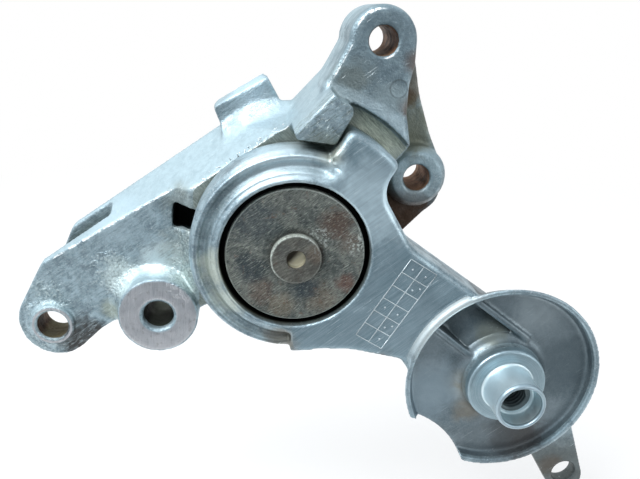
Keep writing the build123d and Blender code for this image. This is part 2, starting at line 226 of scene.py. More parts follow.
class Nodes:
    """Adds nodes to one tree and hands back their outputs."""

    def __init__(self, tree):
        self.tree = tree

    def add(self, kind, inputs=None, **settings):
        node = self.tree.nodes.new(kind)
        for key, value in settings.items():
            setattr(node, key, value)
        for key, value in (inputs or {}).items():
            join(self.tree, node.inputs[key], value)
        return node

    def make(self, kind, output=0, **inputs):
        """Output of a new node, with _ for a space in the names of its inputs."""
        inputs = {key.replace("_", " "): value for key, value in inputs.items()}
        return self.add(kind, inputs).outputs[output]

    def math(self, operation, *values, clamp=False):
        """One value, or several taken together from left to right."""
        total = values[0]
        for value in values[1:] or (0.0,):
            inputs = {0: total, 1: value}
            node = self.add("ShaderNodeMath", inputs, operation=operation, use_clamp=clamp)
            total = node.outputs[0]
        return total

    def times(self, *values, clamp=False):
        return self.math("MULTIPLY", *values, clamp=clamp)

    def plus(self, *values):
        return self.math("ADD", *values)

    def minus(self, first, second):
        return self.math("SUBTRACT", first, second)

    def over(self, first, second, clamp=False):
        return self.math("DIVIDE", first, second, clamp=clamp)

    def most(self, *values):
        return self.math("MAXIMUM", *values)

    def without(self, mask, share=1.0):
        """1 outside a mask, and less by the given share inside it."""
        return self.minus(1.0, self.times(mask, share))

    def step(self, value, low, high):
        """0 below low and 1 above high, smooth between; low may be the larger."""
        return self.scale(value, low, high, 0.0, 1.0, "SMOOTHSTEP")

    def scale(self, value, low, high, new_low, new_high, kind="LINEAR"):
        node = self.add(
            "ShaderNodeMapRange",
            {"Value": value, "From Min": low, "From Max": high, "To Min": new_low,
             "To Max": new_high},
            interpolation_type=kind,
        )
        return node.outputs["Result"]

    def vectors(self, operation, first, second, output=0):
        node = self.add("ShaderNodeVectorMath", {0: first, 1: second}, operation=operation)
        return node.outputs[output]

    def parts(self, vector):
        return self.add("ShaderNodeSeparateXYZ", {0: vector}).outputs

    def mix(self, factor, first, second):
        """Mixes two colours, each a socket or three numbers."""
        node = self.add("ShaderNodeMix", data_type="RGBA", clamp_factor=True)
        join(self.tree, node.inputs[0], factor)
        for index, value in ((6, first), (7, second)):
            join(self.tree, node.inputs[index], value if is_socket(value) else (*value, 1.0))
        return node.outputs[2]

    def lay(self, base, tone, mask, amount=None):
        """Lays a colour over another where the mask is."""
        return self.mix(mask if amount is None else self.times(mask, amount), base, tone)

    def noise(self, vector, size, detail=3.0, roughness=0.55, distortion=0.0):
        """Noise whose features are about the given size, in metres."""
        node = self.add("ShaderNodeTexNoise", {
            "Vector": vector, "Scale": self.over(1.0, size) if is_socket(size) else 1.0 / size,
            "Detail": detail, "Roughness": roughness, "Distortion": distortion,
        })
        return node.outputs["Fac"]

    def stretched(self, vector, width, length):
        """The vector with the given width and length, along X, brought to 1."""
        along, across = self.over(1.0, length), self.over(1.0, width)
        stretch = self.make("ShaderNodeCombineXYZ", X=along, Y=across, Z=across)
        return self.vectors("MULTIPLY", vector, stretch)

    def group(self, name, **inputs):
        """Shared shader group, with _ for a space in the names of its inputs."""
        node = self.add("ShaderNodeGroup", node_tree=shared(name))
        for key, value in inputs.items():
            join(self.tree, node.inputs[key.replace("_", " ")], value)
        return node.outputs

    def show(self, output, factor, first, second):
        """Shows a mix of two shaders."""
        mixed = self.add("ShaderNodeMixShader", {0: factor, 1: first, 2: second}).outputs[0]
        join(self.tree, self.tree.nodes[output].inputs["Surface"], mixed)


class Surface(Nodes):
    """A material in the making, with masks for places in millimetres: x, z and height."""

    def __init__(self, name):
        self.material = bpy.data.materials.new(name)
        self.material.use_nodes = True
        super().__init__(self.material.node_tree)
        self.shader = self.tree.nodes["Principled BSDF"]
        self.place = self.make("ShaderNodeTexCoord", "Object")
        self.x, self.y, self.z = self.parts(self.place)
        self.normal = self.make("ShaderNodeNewGeometry", "Normal")

    def band(self, low, high):
        """1 where the height towards the viewer lies between two values."""
        above = self.math("LESS_THAN", self.y, -low * MM)
        below = self.math("GREATER_THAN", self.y, -high * MM)
        return self.times(above, below)

    def front(self):
        """1 where the surface faces the viewer's side, along -Y of the piece."""
        return self.step(self.parts(self.normal)["Y"], -0.9, -0.985)

    def hole(self, hole, radius, soft=0.2):
        """Mask of a circle round an axis towards the viewer, and the distance from that axis."""
        out = self.group(
            "disc", Vector=self.place, Centre_X=hole[0] * MM, Centre_Z=hole[1] * MM,
            Radius=radius * MM, Soft=soft * MM,
        )
        return out["Mask"], out["Distance"]

    def patch(self, ragged, centre, radius, soft=0.5):
        """Mask of a ragged patch round a place."""
        x, z, height = centre
        away = self.vectors("DISTANCE", self.place, (x * MM, -height * MM, z * MM), "Value")
        away = self.plus(away, self.scale(ragged, 0.3, 0.7, -0.3 * radius * MM, 0.3 * radius * MM))
        return self.step(away, radius * MM * (1 + soft), radius * MM * (1 - soft))

    def turned(self, degrees, shift=0.0):
        """The place turned in the plane that the viewer sees, and shifted along it."""
        turn = (0, math.radians(degrees), 0)
        return self.make(
            "ShaderNodeMapping", Vector=self.place, Rotation=turn, Location=(shift * MM, 0, 0),
        )

    def lines(self, degrees, width, length):
        """Fine tool marks at an angle: their mask and their height."""
        vector = self.turned(degrees)
        out = self.group("lines", Vector=vector, Width=width * MM, Length=length * MM)
        return out["Lines"], out["Height"]

    def coat(self, tone, mask, amount=None):
        """Lays a colour over the material's colour where the mask is."""
        self.colour = self.lay(self.colour, tone, mask, amount)

    def spots(self, patches, size=0.005):
        """Lays ragged patches of colour."""
        ragged = self.noise(self.place, size, 4.0, 0.6, 0.4)
        for centre, radius, tone, amount in patches:
            self.coat(tone, self.patch(ragged, centre, radius), amount)

    def scratches(self, marks):
        """Mask of scratches."""
        total = 0.0
        for angle, width, length, share, amount in marks:
            mark = self.group(
                "scratch", Vector=self.turned(angle, angle), Width=width * MM,
                Length=length * MM, Share=share,
            )["Mask"]
            total = self.most(total, self.times(mark, amount))
        return total

    def rings(self, distance, count):
        """Turned rings round an axis, so many to the metre."""
        noise = self.add("ShaderNodeTexNoise", {
            "W": self.times(distance, count), "Scale": 1.0, "Detail": 2.0,
        }, noise_dimensions="1D").outputs["Fac"]
        return self.step(noise, 0.3, 0.7)

    def feed(self, label, value):
        join(self.tree, self.shader.inputs[label], value)

    def finish(self, roughness, metallic, height, strength, distance):
        """Feeds the shader, and returns the material."""
        bump = self.make(
            "ShaderNodeBump", "Normal", Height=height, Strength=strength, Distance=distance,
        )
        self.feed("Base Color", self.colour)
        self.feed("Roughness", roughness)
        self.feed("Metallic", metallic)
        self.feed("Normal", bump)
        return self.material


# Shared shader groups

def new_group(name, inputs, outputs):
    """Shader node group with inputs given as name: default, and None for a vector."""
    group = bpy.data.node_groups.new(name, "ShaderNodeTree")
    for label, default in inputs.items():
        kind = "NodeSocketVector" if default is None else "NodeSocketFloat"
        socket = group.interface.new_socket(name=label, in_out="INPUT", socket_type=kind)
        if default is not None:
            socket.default_value = default
    for label in outputs:
        group.interface.new_socket(name=label, in_out="OUTPUT", socket_type="NodeSocketFloat")
    nodes = Nodes(group)
    return group, nodes, nodes.add("NodeGroupInput").outputs, nodes.add("NodeGroupOutput").inputs


def cast_grain():
    """Blotches, soft flow marks and fine grain of a die-cast skin."""
    group, n, given, out = new_group(
        "Cast grain", {"Vector": None, "Blotch size": 0.009, "Grain": 1.0},
        ("Blotch", "Speckle", "Height"),
    )
    vector = given["Vector"]
    large = n.noise(vector, given["Blotch size"], 4.0, 0.6, 0.6)
    small = n.noise(vector, 0.0022, 5.0, 0.65, 0.3)
    uneven = n.noise(vector, 0.006, 2.0, 0.5, 0.8)
    speckle = n.noise(vector, 0.00055, 3.0, 0.65)
    blotch = n.plus(n.times(large, 0.65), n.times(small, 0.35))
    height = n.plus(n.times(small, 0.7), n.times(speckle, 0.5), n.times(uneven, 1.2))
    join(group, out["Blotch"], n.step(blotch, 0.36, 0.64))
    join(group, out["Speckle"], n.step(speckle, 0.3, 0.72))
    join(group, out["Height"], n.times(height, given["Grain"]))
    return group


def edge_wear_and_highlight():
    """Mask of the edges that handling has polished, where highlights are also painted."""
    group, n, given, out = new_group(
        "Worn edge and highlight", {"Vector": None, "Radius": 0.0007, "Amount": 1.0}, ("Mask",),
    )
    normal = n.make("ShaderNodeNewGeometry", "Normal")
    soft = n.add("ShaderNodeBevel", {"Radius": given["Radius"]}, samples=6).outputs["Normal"]
    edge = n.step(n.vectors("DOT_PRODUCT", normal, soft, "Value"), 0.985, 0.86)
    rough = n.step(n.noise(given["Vector"], 0.0012, 3.0), 0.3, 0.6)
    join(group, out["Mask"], n.times(edge, rough, given["Amount"], clamp=True))
    return group


def corner_film_and_shade():
    """Mask of the corners and hollows, where olive film gathers and shade is painted."""
    group, n, given, out = new_group(
        "Corner shade and olive film", {"Vector": None, "Reach": 0.008, "Amount": 1.0}, ("Mask",),
    )
    reach = {"Distance": given["Reach"]}
    hollow = n.add("ShaderNodeAmbientOcclusion", reach, samples=6).outputs["AO"]
    patchy = n.scale(n.noise(given["Vector"], 0.006, 3.0), 0.3, 0.7, 0.6, 1.1)
    mask = n.times(n.step(hollow, 0.92, 0.35), n.times(patchy, given["Amount"]), clamp=True)
    join(group, out["Mask"], mask)
    return group


def fine_lines():
    """Fine parallel tool marks along X of the given vector."""
    group, n, given, out = new_group(
        "Fine lines", {"Vector": None, "Width": 0.0003, "Length": 0.012}, ("Lines", "Height"),
    )
    lines = n.noise(n.stretched(given["Vector"], given["Width"], given["Length"]), 1.0, 4.0, 0.7)
    join(group, out["Lines"], n.step(lines, 0.3, 0.7))
    join(group, out["Height"], lines)
    return group


def scratch_marks():
    """Mask of scratches along X of the given vector, gathered in some areas."""
    group, n, given, out = new_group(
        "Scratch marks", {"Vector": None, "Width": 0.0004, "Length": 0.007, "Share": 0.5},
        ("Mask",),
    )
    lines = n.noise(n.stretched(given["Vector"], given["Width"], given["Length"]), 1.0, 2.0, 0.6)
    area = n.noise(given["Vector"], 0.007, 3.0, 0.6)
    limit = n.scale(given["Share"], 0.0, 1.0, 0.68, 0.38)
    inside = n.step(n.minus(area, limit), 0.0, 0.08)
    join(group, out["Mask"], n.times(n.step(lines, 0.62, 0.70), inside))
    return group


def disc_mask():
    """1 inside a circle about a hole's axis, with the distance from that axis."""
    group, n, given, out = new_group(
        "Disc mask",
        {"Vector": None, "Centre X": 0.0, "Centre Z": 0.0, "Radius": 0.01, "Soft": 0.0002},
        ("Mask", "Distance"),
    )
    parts = n.parts(given["Vector"])
    dx = n.minus(parts["X"], given["Centre X"])
    dz = n.minus(parts["Z"], given["Centre Z"])
    distance = n.math("SQRT", n.plus(n.times(dx, dx), n.times(dz, dz)))
    outer = n.plus(given["Radius"], given["Soft"])
    join(group, out["Mask"], n.over(n.minus(outer, distance), given["Soft"], clamp=True))
    join(group, out["Distance"], distance)
    return group


GROUP_MAKERS = {
    "grain": cast_grain, "wear_and_highlight": edge_wear_and_highlight, "film_and_shade": corner_film_and_shade, "lines": fine_lines,
    "disc": disc_mask, "scratch": scratch_marks,
}
GROUPS = {}


def shared(name):
    """Shader node group, built once."""
    if name not in GROUPS:
        GROUPS[name] = GROUP_MAKERS[name]()
    return GROUPS[name]


# Materials. A spot is a place, a radius, a colour and an amount; a mark is an angle, a width and a
# length in millimetres, a share of the surface and an amount.

BRACKET_SPOTS = (
    # Painted shade, dark brown, at the bottom of the lower lobe
    ((-75, -40, 12), 9, (0.05, 0.04, 0.033), 0.9),
    # Painted highlights on the big boss's flare, in the next three spots
    ((-59, -15, 15), 6, (0.70, 0.82, 0.82), 0.75),
    ((-44, -8, 15), 7, (0.80, 0.93, 0.95), 0.8),
    ((-36, -16, 18), 6, (0.56, 0.66, 0.64), 0.6),
    ((-63, -27, 13), 4, (0.50, 0.54, 0.42), 0.5),
    ((-60, 6, 13), 9, (0.46, 0.58, 0.64), 0.55),
    ((-86, -25, 13), 8, (0.40, 0.52, 0.56), 0.4),
    ((-37, -4, 20), 8, (0.22, 0.24, 0.20), 0.5),
    ((-36, 12, 20), 7, (0.25, 0.27, 0.23), 0.5),
    # Painted shadow of the arm on the flange, dark brown with old oil, in the next two spots
    ((37, 5, 15), 14, (0.085, 0.045, 0.026), 0.95),
    ((30, -6, 10), 14, (0.075, 0.042, 0.025), 0.9),
    ((42, 20, 20), 9, (0.40, 0.52, 0.56), 0.4),
    ((44, 33, 16), 6, (0.30, 0.36, 0.36), 0.5),
    ((41, 50, 14), 6, (0.20, 0.16, 0.11), 0.75),
    ((39, 45, 14), 3, (0.12, 0.065, 0.035), 0.85),
    ((43, 36, 14), 8, (0.20, 0.205, 0.145), 0.75),
    ((41, 29, 15), 5, (0.20, 0.21, 0.16), 0.6),
    ((47, 44, 14), 3, (0.42, 0.50, 0.52), 0.5),
    ((38, 57.6, 25), 3.5, (0.18, 0.095, 0.055), 0.9),
    ((36, 44, 24), 3, (0.15, 0.085, 0.05), 0.8),
    ((26, 60, 26), 16, (0.14, 0.195, 0.225), 0.6),
    ((19, 53, 26), 6, (0.22, 0.25, 0.23), 0.6),
    ((31, 47, 26), 5, (0.36, 0.44, 0.46), 0.5),
    ((-10, 41, 8), 8, (0.40, 0.50, 0.55), 0.7),
    ((-14, 50, 5), 7, (0.55, 0.70, 0.78), 0.8),
    ((-16, 56, 5), 9, (0.40, 0.52, 0.58), 0.7),
)
BRACKET_MARKS = (
    (35, 0.35, 9, 0.35, 0.5), (-20, 0.3, 6, 0.25, 0.4), (70, 0.3, 5, 0.2, 0.4),
)
LUG_MARKS = (
    (52, 0.3, 4, 0.95, 0.8), (-30, 0.35, 3, 0.8, 0.5), (38, 0.25, 2.5, 0.9, 0.6),
)
# Places where the cast skin is coarse as sand, with their radii
SANDY = (
    ((-87, -24, 13), 7), ((-62, -13, 14), 7), ((-36, -14, 18), 6), ((-90, -40, 12), 7),
    ((-34, 0, 20), 6),
)
# Turned faces: hole, radius, lowest and highest place
TURNED_FACES = ((BIG_HOLE, 13.6, 23.6, 24.3), (LEFT_HOLE, 7.6, 13.3, 14.0))
# Bores: hole, radius, height of the mouth, and the colour of the painted shade and brown reflection
# on the wall and on its lower side, where light falls
BORES = (
    (BIG_HOLE, 5.45, 21.4, (0.010, 0.013, 0.011), (0.10, 0.12, 0.09)),
    (LEFT_HOLE, 5.5, 12.6, (0.085, 0.048, 0.028), (0.21, 0.20, 0.12)),
    (LOW_HOLE, 4.7, 19.4, (0.30, 0.17, 0.10), (0.30, 0.18, 0.11)),
    (EAR_HOLE, 4.7, 25.3, (0.23, 0.125, 0.07), (0.35, 0.24, 0.16)),
)
ARM_SPOTS = (
    ((58, -50, 37), 5, (0.25, 0.215, 0.14), 0.55),
    ((60, -61, 37), 5, (0.23, 0.19, 0.13), 0.5),
    # Painted shadow of the spigot, dark brown, below it
    ((80, -74, 37), 10, (0.055, 0.042, 0.036), 0.75),
    ((68, -33, 34), 6, (0.17, 0.185, 0.15), 0.6),
    # Painted highlight on the dish's upper right
    ((82, -24, 37), 8, (0.36, 0.42, 0.45), 0.6),
    # Painted reflection: lighter on the dish's left
    ((47, -50, 37), 9, (0.33, 0.41, 0.46), 0.65),
    ((99, -95, 28), 5, (0.10, 0.075, 0.055), 0.6),
    ((30, -37, 34), 5, (0.12, 0.085, 0.06), 0.6),
    ((-5, -30, 36), 6, (0.17, 0.14, 0.10), 0.7),
    # Painted highlight in the groove at its lower left, in the next two spots
    ((-24, -3, 37), 6, (0.72, 0.76, 0.63), 0.55),
    ((-21, -14, 37), 5, (0.70, 0.74, 0.62), 0.5),
    ((11, 33, 38), 4, (0.62, 0.62, 0.50), 0.55),
    # Painted highlight on the ring's upper shoulder
    ((-4, 33, 36), 12, (0.74, 0.88, 0.94), 0.6),
    # Painted reflection on the arm's face, a broad light patch
    ((24, 18, 40), 13, (0.74, 0.92, 1.0), 0.9),
    ((31, 28, 40), 6, (0.34, 0.46, 0.53), 0.5),
    # Painted reflection across the dish: lighter left, darker right and bottom, in the next three
    # spots
    ((46, -56, 37), 10, (0.24, 0.32, 0.37), 0.6),
    ((94, -44, 37), 11, (0.10, 0.135, 0.155), 0.65),
    ((68, -76, 37), 10, (0.11, 0.135, 0.15), 0.5),
)
ARM_MARKS = ((36, 0.3, 14, 0.5, 0.55), (30, 0.25, 9, 0.4, 0.4), (-45, 0.25, 5, 0.15, 0.35))
STEEL_SPOTS = (
    ((13, 10, 38), 5, (0.12, 0.075, 0.057), 0.75),
    ((17, 4, 38), 3.5, (0.14, 0.10, 0.08), 0.6),
    ((16, -10, 38), 3, (0.17, 0.075, 0.055), 0.65),
    ((-11, -12, 38), 4, (0.15, 0.09, 0.065), 0.5),
    ((-5, -17, 38), 4, (0.26, 0.215, 0.155), 0.5),
    ((8, -15, 38), 5, (0.23, 0.18, 0.13), 0.5),
    ((-14, -3, 38), 4.5, (0.045, 0.06, 0.07), 0.8),
    ((3, -11, 38), 4, (0.06, 0.08, 0.095), 0.8),
    ((-12, 12, 38), 7, (0.085, 0.105, 0.115), 0.7),
    ((-2, 17, 38), 5, (0.14, 0.15, 0.14), 0.5),
    ((6, 2, 41), 3, (0.21, 0.14, 0.10), 0.6),
    ((-4, 3, 41), 3, (0.10, 0.12, 0.13), 0.5),
)
STEEL_MARKS = (
    (32, 0.30, 3.5, 0.75, 0.5), (24, 0.28, 2.5, 0.6, 0.45), (46, 0.35, 8, 0.3, 0.5),
    (-40, 0.35, 7, 0.2, 0.35),
)


def cast_base(n, props, blotch_size):
    """Lays the skin that both castings share, and returns its grain and masks."""
    grain = n.group("grain", Vector=n.place, Blotch_size=blotch_size, Grain=1.0)
    n.colour = n.mix(grain["Blotch"], props.dull, props.bright)
    cold = n.step(n.noise(n.place, 0.0045, 5.0, 0.68, 0.8), 0.50, 0.62)
    n.coat((0.10, 0.16, 0.20), cold, 0.55)
    n.coat((0.78, 0.82, 0.84), grain["Speckle"], 0.18)
    sparkle = n.step(n.noise(n.place, 0.0006, 3.0, 0.7, 0.2), 0.60, 0.70)
    n.coat((0.80, 0.88, 0.90), sparkle, 0.45)
    # Olive film and painted shade in corners and hollows
    film_and_shade = n.group("film_and_shade", Vector=n.place, Reach=0.009, Amount=0.75)["Mask"]
    n.coat(props.film_and_shade, film_and_shade)
    # Edges worn bright, with painted highlight
    wear_and_highlight = n.group("wear_and_highlight", Vector=n.place, Radius=0.0009, Amount=1.0)["Mask"]
    n.coat((0.90, 0.96, 1.0), wear_and_highlight)
    return grain, film_and_shade, wear_and_highlight


def turned_face(n, props, front, hole, radius, low, high):
    """Paints a boss face with turned rings, and returns its mask."""
    circle, distance = n.hole(hole, radius)
    mask = n.times(circle, n.band(low, high), front)
    cloud = n.noise(n.place, 0.004, 3.0)
    face = n.mix(n.step(cloud, 0.35, 0.65), props.machined, (0.50, 0.52, 0.55))
    face = n.lay(face, (0.78, 0.78, 0.80), n.rings(distance, 5200.0), 0.25)
    _, brush = n.lines(82, 0.5, 5)
    face = n.lay(face, (0.26, 0.28, 0.31), n.step(brush, 0.48, 0.32), 0.5)
    face = n.lay(face, (0.85, 0.87, 0.90), n.step(brush, 0.56, 0.70), 0.5)
    dirt = n.step(n.noise(n.place, 0.0016, 4.0, 0.65), 0.56, 0.66)
    face = n.lay(face, (0.24, 0.24, 0.22), dirt, 0.35)
    n.coat(face, mask)
    return mask


def wall_edge_highlight(n):
    """Mask of the ragged painted highlight along the long wall's front edge."""
    edge = n.vectors("DOT_PRODUCT", n.normal, WALL_HIGHLIGHT_NORMAL, "Value")
    beside = n.minus(n.z, n.times(n.x, WALL_SLOPE))
    return n.times(
        n.step(edge, 0.965, 0.985), n.step(beside, 34.5 * MM, 36 * MM),
        n.step(n.noise(n.place, 0.0015, 3.0), 0.36, 0.56), n.band(*WALL_HIGHLIGHT_BAND),
    )


def olive_film_and_pocket_light(n):
    """Film with hatch lines on milled faces, with painted light in the stop pocket: its colour and
    the height of the lines.
    """
    hatch, height = n.lines(-48, 0.5, 3.5)
    layer = n.mix(hatch, (0.17, 0.205, 0.185), (0.40, 0.44, 0.40))
    pocket_light = n.mix(hatch, (0.30, 0.34, 0.28), (0.72, 0.78, 0.66))
    return n.lay(layer, pocket_light, n.patch(0.5, STOP_POCKET, 9, 0.4)), height


def bore_shade_and_reflection(n):
    """Painted shade and brown painted reflection in the bores of the bracket, lighter on their
    lower side as painted light.
    """
    for hole, radius, mouth, tone, low_tone in BORES:
        circle, _ = n.hole(hole, radius, soft=0.1)
        cloud = n.step(n.noise(n.place, 0.004, 4.0), 0.4, 0.62)
        layer = n.mix(cloud, tone, tuple(c * 0.3 for c in tone))
        # Painted light on the bore's lower side
        bottom = n.step(n.minus(n.z, hole[1] * MM), -2.5 * MM, -4.5 * MM)
        layer = n.lay(layer, low_tone, bottom, 0.6)
        n.coat(layer, n.times(circle, n.band(-5, mouth)))


def bracket_metal(props):
    """Cast skin of the bracket, with its films, stains and machined faces, and painted highlights
    and shade.
    """
    n = Surface("Cast bracket metal")
    front, facing = n.front(), n.parts(n.normal)
    grain, film_and_shade, _ = cast_base(n, props, 0.005)

    # The long wall's upper side is cleaner and more even
    above = n.times(n.step(facing["Z"], 0.25, 0.6), n.step(facing["Y"], -0.75, -0.6))
    n.coat((0.39, 0.49, 0.53), above, 0.72)
    n.spots(BRACKET_SPOTS)

    # Flow marks on the left-hand web
    _, flow = n.lines(33, 0.6, 5)
    on_web = n.times(n.step(n.x, 4 * MM, -8 * MM), n.scale(above, 0, 1, 0.38, 0.0))
    n.coat((0.62, 0.75, 0.80), n.step(flow, 0.52, 0.66), on_web)
    n.coat((0.10, 0.15, 0.18), n.step(flow, 0.48, 0.34), on_web)
    # Painted highlight along the long wall's front edge
    n.coat((0.97, 1.0, 1.0), wall_edge_highlight(n), 0.9)
    marks = n.scratches(BRACKET_MARKS)
    n.coat((0.82, 0.90, 0.93), marks)

    # Sandy places
    sand = 0.0
    for middle, radius in SANDY:
        sand = n.most(sand, n.patch(grain["Blotch"], middle, radius))
    grit = n.noise(n.place, 0.0009, 3.0, 0.6)
    n.coat((0.80, 0.89, 0.87), n.times(n.step(grit, 0.50, 0.60), sand), 0.35)
    n.coat((0.15, 0.18, 0.17), n.times(n.step(grit, 0.46, 0.36), sand), 0.35)

    # Milled face round the drum and floor of the stop pocket
    milled = n.times(n.band(DRUM_FACE - 0.15, DRUM_FACE + 0.15), front)
    # Olive film, with painted light in the stop pocket
    layer, hatch = olive_film_and_pocket_light(n)
    n.coat(layer, milled, 0.85)

    # Pale lip above the stop pocket, and the round mark of an ejector pin on the ear
    lip, _ = n.hole(PIVOT, LIP_RADIUS, soft=1.5)
    n.coat((0.66, 0.80, 0.86), n.times(lip, front, n.band(*LIP_BAND)), 0.45)
    outside, _ = n.hole(EJECTOR, EJECTOR_RADIUS, soft=0.25)
    inside, _ = n.hole(EJECTOR, EJECTOR_RADIUS - 0.55, soft=0.25)
    ring = n.times(n.minus(outside, inside), n.band(*EAR_BAND))
    n.coat((0.11, 0.14, 0.15), ring, 0.55)

    # The stop lug's face is scraped
    lug = n.times(n.patch(0.5, STOP_LUG, 15, 0.1), n.band(*LUG_BAND))
    lug_marks = n.scratches(LUG_MARKS)
    scraped = n.lay(n.colour, (0.80, 0.90, 0.88), lug_marks)
    scraped = n.lay(scraped, (0.15, 0.185, 0.17), n.step(flow, 0.50, 0.40), 0.6)
    scraped = n.lay(scraped, (0.20, 0.225, 0.185), n.patch(0.5, LUG_FOOT, 6, 0.4), 0.55)
    n.coat(scraped, lug)

    machined = 0.0
    for face in TURNED_FACES:
        machined = n.most(machined, turned_face(n, props, front, *face))
    bore_shade_and_reflection(n)

    # Painted shade: the window's inside is painted near-black, for the dark hollow of the casting
    # behind it
    deep = n.times(n.patch(0.5, WINDOW, 9.5, 0.1), n.band(*WINDOW_BAND))
    n.coat((0.006, 0.006, 0.007), deep)

    roughness = n.scale(grain["Blotch"], 0.0, 1.0, 0.58, 0.42)
    roughness = n.plus(roughness, n.times(film_and_shade, 0.15), n.times(above, 0.12))
    roughness = n.minus(roughness, n.times(machined, 0.12))
    height = n.times(grain["Height"], n.without(machined, 0.8))
    height = n.plus(height, n.times(hatch, milled, 0.9))
    height = n.times(height, n.without(above, 0.6))
    height = n.minus(height, n.times(n.most(marks, n.times(lug_marks, lug)), 0.25))
    height = n.plus(height, n.times(grit, sand, 1.6))
    return n.finish(roughness, 0.8, height, 0.75, 0.4 * MM)


def dish_skin(n, cloud, speckle):
    """The darker skin of the shield, darkest in its pocket."""
    skin = n.mix(cloud, (0.105, 0.14, 0.16), (0.19, 0.235, 0.26))
    skin = n.lay(skin, (0.4, 0.45, 0.47), speckle, 0.15)
    return n.lay(skin, (0.045, 0.06, 0.065), n.band(POCKET_FLOOR - 0.7, SHIELD_FLOOR - 0.4), 0.6)


def gap_shade(n):
    """Black painted shade in the gap round the disc, less of it at the lower right where light
    falls.
    """
    gap, _ = n.hole(PIVOT, GAP_RADIUS, soft=0.15)
    depth = n.times(n.y, -1.0)
    lip = n.minus(depth, n.scale(n.minus(n.x, n.z), -15 * MM, 25 * MM, 0.0, -1.6 * MM))
    deep = n.step(depth, 35.4 * MM, 37.4 * MM)
    gap_tone = n.mix(deep, (0.006, 0.006, 0.006), (0.13, 0.14, 0.11))
    n.coat(gap_tone, n.times(gap, n.step(lip, 38.4 * MM, 37.8 * MM)))


def spigot_metal(n, distance):
    """Paints the turned collar and spigot and the bore, dark as painted shade where it is deep, and
    returns the turned mask.
    """
    collar, _ = n.hole(SPIGOT, COLLAR_RADIUS)
    spun = n.times(collar, n.band(*SPIGOT_BAND))
    on_collar = n.math("GREATER_THAN", distance, SPIGOT_RADIUS * MM)
    metal = n.mix(on_collar, (0.80, 0.95, 1.0), (0.27, 0.38, 0.43))
    metal = n.lay(metal, (0.36, 0.47, 0.53), n.band(*SPIGOT_END_BAND))
    metal = n.lay(metal, (0.66, 0.76, 0.82), n.rings(distance, 3800.0), 0.3)
    n.coat(metal, spun, 0.85)
    bore, _ = n.hole(SPIGOT, BORE_RADIUS, soft=0.15)
    n.coat((0.20, 0.24, 0.24), n.times(bore, n.band(*BORE_BAND)), 0.25)
    # Painted shade deep in the bore
    n.coat((0.05, 0.06, 0.055), n.times(bore, n.band(*DEEP_BORE_BAND)), 0.8)
    return spun


def arm_metal(props):
    """Cast skin of the arm: darker in the dish, brushed in front and turned at the spigot, with
    painted highlights, reflections and shade.
    """
    n = Surface("Cast arm metal")
    grain, film_and_shade, wear_and_highlight = cast_base(n, props, 0.012)

    # Dish floor and pocket carry a darker skin, and the tab is painted dark as shade
    in_dish, distance = n.hole(SPIGOT, DISH_RADIUS, soft=0.5)
    in_dish = n.times(in_dish, n.band(20.0, ARM_FACE - 0.1))
    cloud = n.step(n.noise(n.place, 0.02, 4.0, 0.6, 0.5), 0.35, 0.65)
    n.coat(dish_skin(n, cloud, grain["Speckle"]), in_dish, 0.9)
    # Painted shade on the tab behind the shield
    shaded_tab = n.times(n.step(n.z, -70 * MM, -92 * MM), n.band(0, SHIELD_FLOOR - 0.4))
    n.coat((0.105, 0.115, 0.11), shaded_tab, 0.85)
    # Edges in the dish, lighter where worn and with painted highlight
    n.coat((0.60, 0.66, 0.68), n.times(wear_and_highlight, in_dish))

    # Milled front face, brushed from lower left to upper right, and a painted highlight on the
    # shield's ramp
    face = n.times(n.band(ARM_FACE - 0.12, ARM_FACE + 0.15), n.front())
    fine, fine_height = n.lines(36, 0.24, 10)
    coarse, _ = n.lines(36, 0.9, 30)
    n.coat(n.mix(cloud, (0.21, 0.315, 0.37), (0.29, 0.40, 0.46)), face)
    n.spots(ARM_SPOTS)
    # Painted highlight on the ramp up to the shield's rim
    ramp = n.times(n.patch(0.5, SHIELD_RAMP, 15), n.band(*RAMP_HIGHLIGHT_BAND))
    n.coat((0.92, 1.0, 1.0), ramp, 0.75)
    brushed = n.lay(n.colour, (0.62, 0.76, 0.84), fine, 0.36)
    brushed = n.lay(brushed, (0.12, 0.185, 0.22), coarse, 0.22)
    fleck = n.step(n.noise(n.place, 0.0005, 3.0, 0.7), 0.60, 0.72)
    brushed = n.lay(brushed, (0.75, 0.85, 0.90), fleck, 0.5)
    n.coat(brushed, face)
    marks = n.scratches(ARM_MARKS)
    n.coat((0.80, 0.90, 0.94), n.times(marks, n.without(in_dish, 0.75)))
    gap_shade(n)
    spun = spigot_metal(n, distance)

    smooth = n.most(face, spun)
    rim, _ = n.hole(SPIGOT, SHIELD_RADIUS, soft=1.0)
    flat = n.most(smooth, n.times(in_dish, 0.6), n.times(rim, n.band(*RIM_BAND), 0.8))
    roughness = n.scale(grain["Blotch"], 0.0, 1.0, 0.54, 0.38)
    roughness = n.minus(n.plus(roughness, n.times(film_and_shade, 0.15)), n.times(smooth, 0.06))
    height = n.times(grain["Height"], n.without(flat, 0.92))
    height = n.plus(height, n.times(fine_height, face, 0.3))
    height = n.minus(height, n.times(marks, 0.2))
    return n.finish(roughness, 0.85, height, 0.55, 0.3 * MM)


